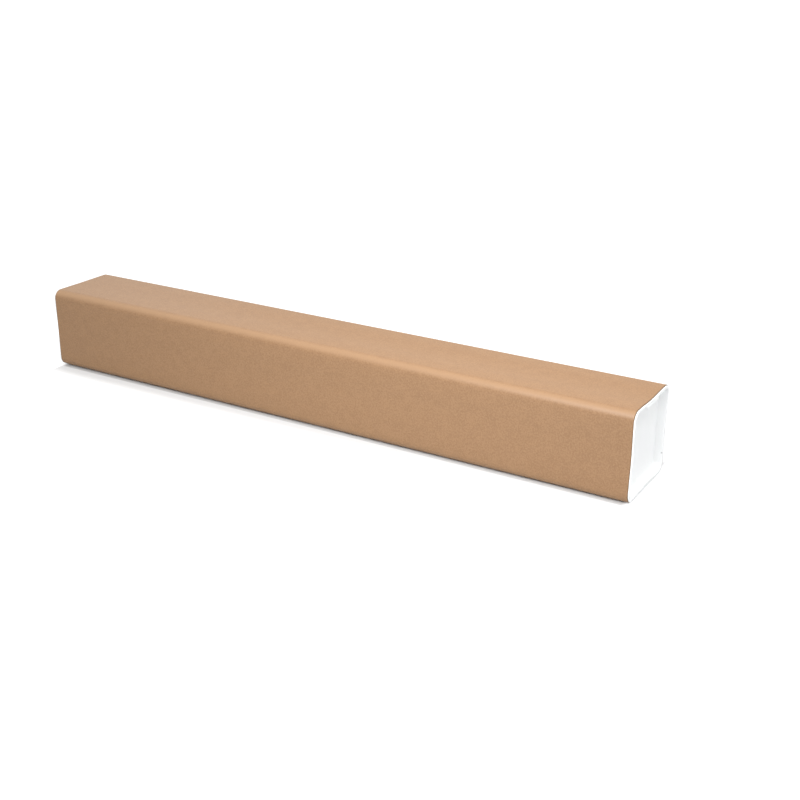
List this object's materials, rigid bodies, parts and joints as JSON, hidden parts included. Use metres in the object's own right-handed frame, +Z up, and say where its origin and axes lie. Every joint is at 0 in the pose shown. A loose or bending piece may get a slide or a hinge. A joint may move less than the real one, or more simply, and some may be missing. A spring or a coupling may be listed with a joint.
{
  "type": "square poster mailing tube",
  "caption": "Long square cardboard mailing tube with rounded corners, closed at both ends by white push-in plastic caps with a recessed face and a small grip lip.",
  "frame": {"origin": "middle of the tube's underside, on the surface it lies on", "axes": "+X along the tube towards the right end cap, +Z up, -Y is the front side"},
  "size_m": [0.863, 0.111, 0.111],
  "materials": {
    "kraft_board": "matte",
    "cap_plastic": "satin"
  },
  "bodies": {
    "tube": {"tube": "kraft_board"},
    "cap_right": {"end_cap_right": "cap_plastic"},
    "cap_left": {"end_cap_left": "cap_plastic"}
  },
  "joints": [
    {"name": "cap_right_pull", "type": "slide", "parent": "tube", "child": "cap_right", "axis": [1, 0, 0], "range_m": [0, 0.045]},
    {"name": "cap_left_pull", "type": "slide", "parent": "tube", "child": "cap_left", "axis": [-1, 0, 0], "range_m": [0, 0.045]}
  ]
}
